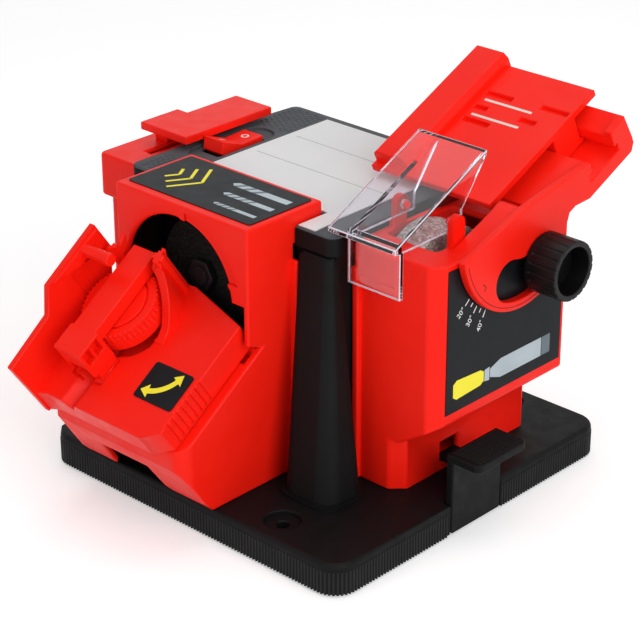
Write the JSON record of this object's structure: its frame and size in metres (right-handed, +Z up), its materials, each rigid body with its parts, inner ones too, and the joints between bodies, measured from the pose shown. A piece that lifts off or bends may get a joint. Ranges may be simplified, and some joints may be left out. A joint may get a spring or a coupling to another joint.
{
  "type": "electric multipurpose sharpener",
  "caption": "Bench sharpener with one motor driving grinding wheels in a drill, a chisel and a knife station, with swing drill holder, tilting chisel rest and clear shield.",
  "frame": {"origin": "middle of the square base on the bench top, under the rubber feet", "axes": "+Z up, +X towards the chisel station, -Y towards the drill station"},
  "size_m": [0.1981, 0.2067, 0.1582],
  "materials": {
    "red_plastic": "satin moulded",
    "black_plastic": "fine textured",
    "grey_plastic": "fine textured",
    "rubber_black": "matt",
    "steel": "turned",
    "bearing_steel": "ground",
    "sheet_steel": "pressed",
    "lamination": "stacked sheet",
    "bronze": "sintered",
    "abrasive": "gritty",
    "abrasive_dark": "gritty",
    "clear": "clear moulded plastic",
    "label_white": "bare",
    "sticker_black": "printed film",
    "white_plastic": "inlay",
    "blue_can": "sleeved"
  },
  "bodies": {
    "frame": {"base_plate": "black_plastic", "rubber_feet": "rubber_black", "base_screws": "steel", "pedal_pin": "steel", "pedal_spring": "steel", "motor_housing": "black_plastic", "top_cover": "grey_plastic", "rating_label": "label_white", "cable_gland": "black_plastic", "motor_can": "sheet_steel", "stator": "lamination", "bracket_left": "sheet_steel", "bracket_right": "sheet_steel", "bearings": "bearing_steel", "capacitor": "blue_can", "spindle_bush": "bronze", "switch_frame": "black_plastic", "drill_housing": "red_plastic", "drill_sticker": "sticker_black", "swing_post": "steel", "chisel_housing": "red_plastic", "dial_sticker": "sticker_black", "arm_pivot_pin": "steel", "clamp_stud": "steel", "shield_pins": "red_plastic", "knife_housing": "red_plastic", "knife_guide": "red_plastic"},
    "pedal": {"release_pedal": "black_plastic"},
    "shaft": {"motor_shaft": "steel", "rotor": "lamination", "fan": "white_plastic", "drive_bevel": "steel", "chisel_wheel": "abrasive", "chisel_nut": "steel", "knife_wheel": "abrasive", "knife_nut": "steel"},
    "spindle": {"drill_spindle": "steel", "driven_bevel": "steel", "drill_wheel": "abrasive_dark", "spindle_nut": "steel"},
    "rocker": {"switch_rocker": "red_plastic"},
    "holder": {"swing_holder": "red_plastic", "arrow_sticker": "sticker_black", "clamp_bridge": "red_plastic", "clamp_pin": "steel"},
    "clamp": {"clamp_wheel": "red_plastic"},
    "jaw": {"drill_jaw": "steel"},
    "arm": {"tilt_arm": "red_plastic"},
    "carriage": {"chisel_carriage": "red_plastic", "carriage_inlays": "white_plastic"},
    "knob": {"clamp_knob": "black_plastic"},
    "shield": {"shield": "clear"}
  },
  "joints": [
    {"name": "pedal_hinge", "type": "hinge", "parent": "frame", "child": "pedal", "pos_m": [0.0736, -0.00059, 0.0054], "axis": [0, 1, 0], "range_deg": [0, 12], "stiffness_Nm_per_rad": 0.6, "springref_deg": -5.73},
    {"name": "motor_spin", "type": "hinge", "parent": "frame", "child": "shaft", "pos_m": [0, 0.006, 0.091], "axis": [1, 0, 0], "continuous": true},
    {"name": "spindle_spin", "type": "hinge", "parent": "frame", "child": "spindle", "pos_m": [-0.0205, -0.04, 0.091], "axis": [0, 1, 0], "continuous": true},
    {"name": "switch_rock", "type": "hinge", "parent": "frame", "child": "rocker", "pos_m": [-0.06276, 0.01016, 0.1128], "axis": [1, 0, 0], "range_deg": [0, 18]},
    {"name": "holder_swing", "type": "hinge", "parent": "frame", "child": "holder", "pos_m": [-0.0205, -0.06146, 0.07537], "axis": [0, -0.5736, 0.8192], "range_deg": [-10, 10]},
    {"name": "clamp_turn", "type": "hinge", "parent": "holder", "child": "clamp", "pos_m": [-0.03577, -0.07449, 0.07968], "axis": [0, -0.5736, 0.8192], "range_deg": [0, 360]},
    {"name": "jaw_slide", "type": "slide", "parent": "holder", "child": "jaw", "axis": [0, 0.5736, -0.8192], "range_m": [0, 0.003]},
    {"name": "arm_tilt", "type": "hinge", "parent": "frame", "child": "arm", "pos_m": [0.079, 0.021, 0.1205], "axis": [1, 0, 0], "range_deg": [-5, 15]},
    {"name": "carriage_slide", "type": "slide", "parent": "arm", "child": "carriage", "axis": [1, 0, 0], "range_m": [-0.012, 0.003]},
    {"name": "knob_turn", "type": "hinge", "parent": "frame", "child": "knob", "pos_m": [0.088, 0.03292, 0.10142], "axis": [1, 0, 0], "continuous": true},
    {"name": "shield_lift", "type": "hinge", "parent": "frame", "child": "shield", "pos_m": [0.05, -0.00058, 0.12281], "axis": [1, 0, 0], "range_deg": [-30, 0]}
  ],
  "couplings": [
    {"joint": "spindle_spin", "follows": "motor_spin", "ratio": 1},
    {"joint": "clamp_turn", "follows": "jaw_slide", "rad_per_m": 2094.4}
  ]
}
